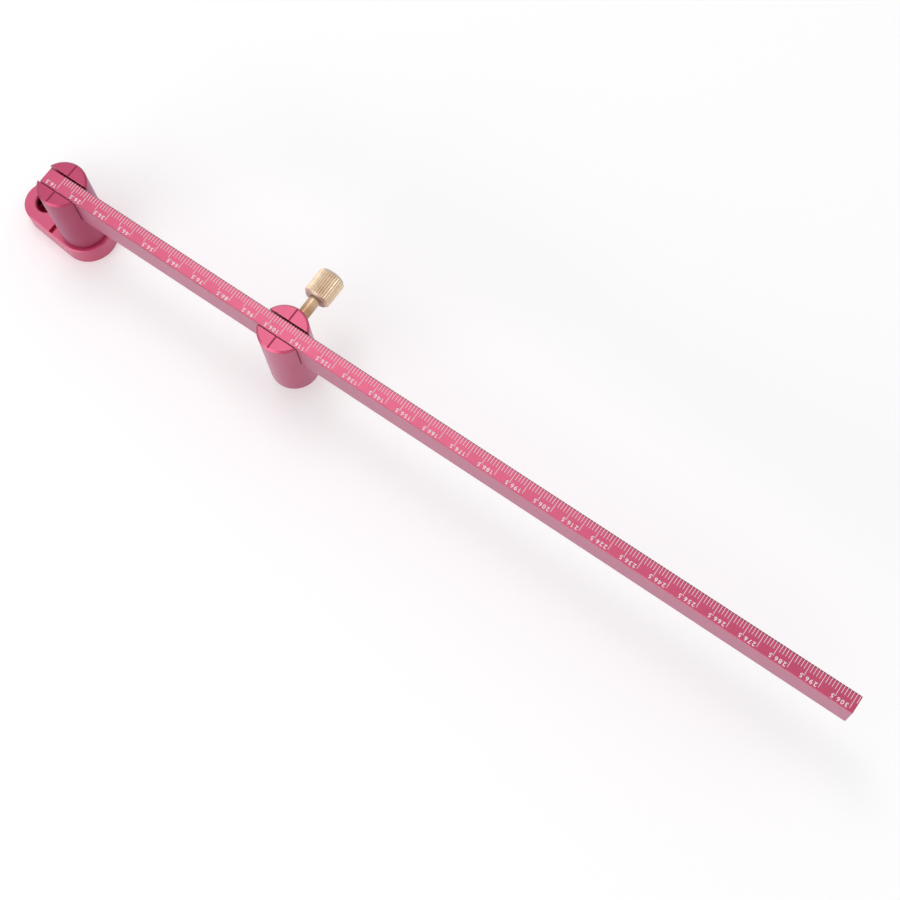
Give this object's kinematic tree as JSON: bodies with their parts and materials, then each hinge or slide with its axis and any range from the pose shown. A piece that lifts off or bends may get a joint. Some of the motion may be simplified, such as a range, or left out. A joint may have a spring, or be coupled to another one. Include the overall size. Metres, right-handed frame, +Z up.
{
  "type": "beam compass",
  "caption": "Beam compass: a scaled flat beam set in a slotted pencil head on a foot with a pencil bore, and a sliding centre head with a needle and a knurled thumb screw.",
  "frame": {"origin": "axis of the pencil bore, at the foot's underside", "axes": "+X along the beam towards its free end, +Y towards the side of the thumb screw, +Z up from the foot to the scale"},
  "size_m": [0.3162, 0.0345, 0.0375],
  "materials": {
    "rose_anodised": "rose anodised, satin",
    "brass": "turned, fine satin",
    "black_steel": "black oxide",
    "hardened_steel": "ground",
    "nylon": "matte"
  },
  "bodies": {
    "compass": {"beam": "rose_anodised", "pencil_head": "rose_anodised", "pencil_foot": "rose_anodised", "foot_screws": "black_steel", "beam_set_screw": "black_steel"},
    "slider": {"centre_head": "rose_anodised", "pin_set_screw": "black_steel"},
    "pad": {"pressure_pad": "nylon"},
    "thumb": {"thumb_screw": "brass"},
    "needle": {"centre_pin": "hardened_steel"},
    "clamp": {"pencil_clamp_screw": "black_steel"}
  },
  "joints": [
    {"name": "head_slide", "type": "slide", "parent": "compass", "child": "slider", "axis": [1, 0, 0], "range_m": [-0.071, 0.2005]},
    {"name": "pad_slide", "type": "slide", "parent": "slider", "child": "pad", "axis": [0, 1, 0], "range_m": [0, 0.0021]},
    {"name": "thumb_turn", "type": "hinge", "parent": "pad", "child": "thumb", "pos_m": [0.1064, 0, 0.0308], "axis": [0, 1, 0], "range_deg": [0, 1081]},
    {"name": "needle_slide", "type": "slide", "parent": "slider", "child": "needle", "axis": [0, 0, -1], "range_m": [0, 0.012]},
    {"name": "clamp_slide", "type": "slide", "parent": "compass", "child": "clamp", "axis": [1, 0, 0], "range_m": [0, 0.0025]}
  ],
  "couplings": [
    {"joint": "thumb_turn", "follows": "pad_slide", "rad_per_m": 8976}
  ]
}
